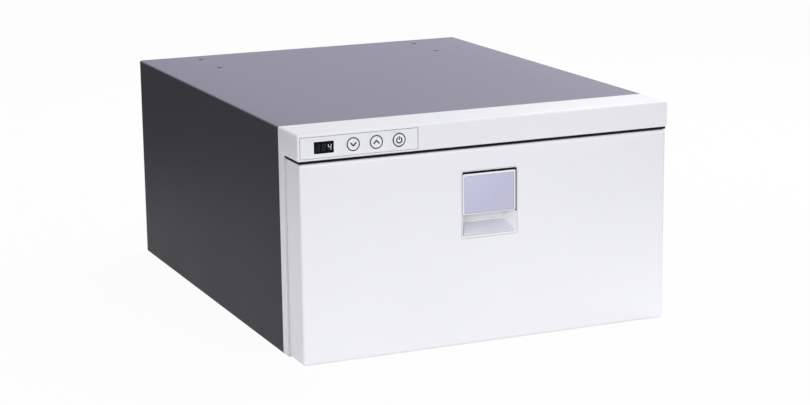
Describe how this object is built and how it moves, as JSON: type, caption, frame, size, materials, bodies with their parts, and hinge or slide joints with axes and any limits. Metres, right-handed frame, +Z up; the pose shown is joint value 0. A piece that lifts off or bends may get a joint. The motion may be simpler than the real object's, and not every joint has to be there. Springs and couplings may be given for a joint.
{
  "type": "undercounter drawer refrigerator",
  "caption": "Low built-in drawer refrigerator: dark steel cabinet, white moulded front with header controls, insulated drawer on telescopic slides with a pull-flap latch.",
  "frame": {"origin": "centre of the underside, on the surface it stands on", "axes": "+X to the user's right, +Y from the drawer front to the back, +Z up"},
  "size_m": [0.44, 0.565, 0.25],
  "materials": {
    "cabinet_steel": "satin",
    "white_plastic": "satin",
    "panel_plastic": "satin",
    "silver_insert": "satin",
    "smoked_window": "gloss",
    "black_plastic": "matte",
    "liner_plastic": "satin",
    "foam": "matte",
    "gasket_rubber": "matte",
    "rubber": "matte",
    "zinc_steel": "satin",
    "steel": "polished",
    "aluminium": "satin",
    "copper": "satin",
    "black_enamel": "gloss",
    "circuit_board": "satin"
  },
  "bodies": {
    "cabinet": {"cabinet_shell": "cabinet_steel", "base_plate": "zinc_steel", "insulation_foam": "foam", "inner_liner": "liner_plastic", "front_bezel": "white_plastic", "header_lip": "rubber", "control_panel_plate": "panel_plastic", "display_window": "smoked_window", "display_module": "black_plastic", "control_board": "circuit_board", "latch_keeper": "steel", "slide_outer_left": "zinc_steel", "slide_outer_right": "zinc_steel", "evaporator_plate": "aluminium", "temperature_probe": "black_plastic", "compressor": "black_enamel", "compressor_grommet_1": "rubber", "compressor_grommet_2": "rubber", "compressor_grommet_3": "rubber", "compressor_grommet_4": "rubber", "compressor_controller": "black_plastic", "condenser": "aluminium", "fan_frame": "black_plastic", "discharge_line": "copper", "liquid_line": "copper", "filter_drier": "copper", "capillary_line": "copper", "suction_line": "copper", "rear_panel": "cabinet_steel", "cable_gland": "rubber"},
    "drawer": {"drawer_front_skin": "white_plastic", "drawer_front_foam": "foam", "drawer_inner_panel": "liner_plastic", "drawer_gasket": "gasket_rubber", "drawer_basin": "liner_plastic", "side_rail_left": "zinc_steel", "side_rail_right": "zinc_steel", "slide_inner_left": "zinc_steel", "slide_inner_right": "zinc_steel", "latch_housing": "white_plastic", "latch_pin": "steel", "paddle_spring": "steel"},
    "flap": {"latch_paddle": "white_plastic", "paddle_insert": "silver_insert"},
    "hook": {"latch_hook": "steel"},
    "middle_member_left": {"slide_middle_left": "zinc_steel"},
    "middle_member_right": {"slide_middle_right": "zinc_steel"},
    "outer_cage_left": {"ball_cage_outer_left": "steel"},
    "outer_cage_right": {"ball_cage_outer_right": "steel"},
    "inner_cage_left": {"ball_cage_inner_left": "steel"},
    "inner_cage_right": {"ball_cage_inner_right": "steel"},
    "down_key": {"button_down": "panel_plastic"},
    "up_key": {"button_up": "panel_plastic"},
    "power_key": {"button_power": "panel_plastic"},
    "rotor": {"fan_rotor": "black_plastic"}
  },
  "joints": [
    {"name": "drawer_slide", "type": "slide", "parent": "cabinet", "child": "drawer", "axis": [0, -1, 0], "range_m": [0, 0.31]},
    {"name": "middle_slide_left", "type": "slide", "parent": "cabinet", "child": "middle_member_left", "axis": [0, -1, 0], "range_m": [0, 0.155]},
    {"name": "middle_slide_right", "type": "slide", "parent": "cabinet", "child": "middle_member_right", "axis": [0, -1, 0], "range_m": [0, 0.155]},
    {"name": "outer_cage_slide_left", "type": "slide", "parent": "cabinet", "child": "outer_cage_left", "axis": [0, -1, 0], "range_m": [0, 0.0775]},
    {"name": "outer_cage_slide_right", "type": "slide", "parent": "cabinet", "child": "outer_cage_right", "axis": [0, -1, 0], "range_m": [0, 0.0775]},
    {"name": "inner_cage_slide_left", "type": "slide", "parent": "cabinet", "child": "inner_cage_left", "axis": [0, -1, 0], "range_m": [0, 0.2325]},
    {"name": "inner_cage_slide_right", "type": "slide", "parent": "cabinet", "child": "inner_cage_right", "axis": [0, -1, 0], "range_m": [0, 0.2325]},
    {"name": "flap_hinge", "type": "hinge", "parent": "drawer", "child": "flap", "pos_m": [0, -0.2772, 0.1877], "axis": [-1, 0, 0], "range_deg": [0, 21.7], "stiffness_Nm_per_rad": 0.1, "springref_deg": -17.19},
    {"name": "hook_slide", "type": "slide", "parent": "drawer", "child": "hook", "axis": [0, 0, -1], "range_m": [0, 0.0048]},
    {"name": "down_press", "type": "slide", "parent": "cabinet", "child": "down_key", "axis": [0, 1, 0], "range_m": [0, 0.0007], "stiffness_N_per_m": 100, "springref_m": -0.005},
    {"name": "up_press", "type": "slide", "parent": "cabinet", "child": "up_key", "axis": [0, 1, 0], "range_m": [0, 0.0007], "stiffness_N_per_m": 100, "springref_m": -0.005},
    {"name": "power_press", "type": "slide", "parent": "cabinet", "child": "power_key", "axis": [0, 1, 0], "range_m": [0, 0.0007], "stiffness_N_per_m": 100, "springref_m": -0.005},
    {"name": "fan_spin", "type": "hinge", "parent": "cabinet", "child": "rotor", "pos_m": [-0.12, 0.263, 0.0845], "axis": [0, 1, 0], "continuous": true}
  ],
  "couplings": [
    {"joint": "middle_slide_left", "follows": "drawer_slide", "ratio": 0.5},
    {"joint": "middle_slide_right", "follows": "drawer_slide", "ratio": 0.5},
    {"joint": "outer_cage_slide_left", "follows": "drawer_slide", "ratio": 0.25},
    {"joint": "outer_cage_slide_right", "follows": "drawer_slide", "ratio": 0.25},
    {"joint": "inner_cage_slide_left", "follows": "drawer_slide", "ratio": 0.75},
    {"joint": "inner_cage_slide_right", "follows": "drawer_slide", "ratio": 0.75},
    {"joint": "hook_slide", "follows": "flap_hinge", "m_per_rad": 0.01267}
  ]
}
